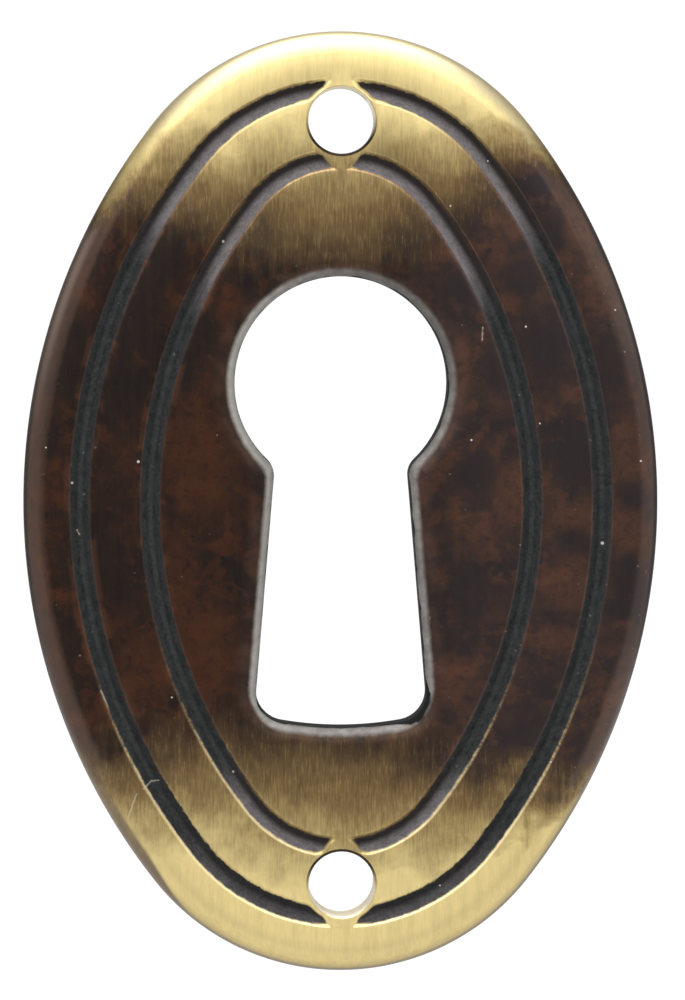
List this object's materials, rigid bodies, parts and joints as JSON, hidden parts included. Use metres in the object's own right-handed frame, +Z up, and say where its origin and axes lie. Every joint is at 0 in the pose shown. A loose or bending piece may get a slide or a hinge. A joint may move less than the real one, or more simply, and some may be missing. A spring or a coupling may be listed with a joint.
{
  "type": "keyhole escutcheon",
  "caption": "Oval keyhole escutcheon plate with concentric grooves, a pin hole at each end and a keyhole whose slot spreads towards its foot.",
  "frame": {"origin": "middle of the oval, half way between the pin holes, on the plane of the back face", "axes": "+Z up along the oval, from the slot's foot to the keyhole's round end; +Y out of the back face, into the door; the side that shows faces -Y"},
  "size_m": [0.027, 0.002, 0.04],
  "materials": {
    "antique_brass": "shaded antique brass: brushed gold at both ends, dark patina across the middle and in the grooves"
  },
  "bodies": {
    "root": {"escutcheon_plate": "antique_brass"}
  },
  "joints": []
}
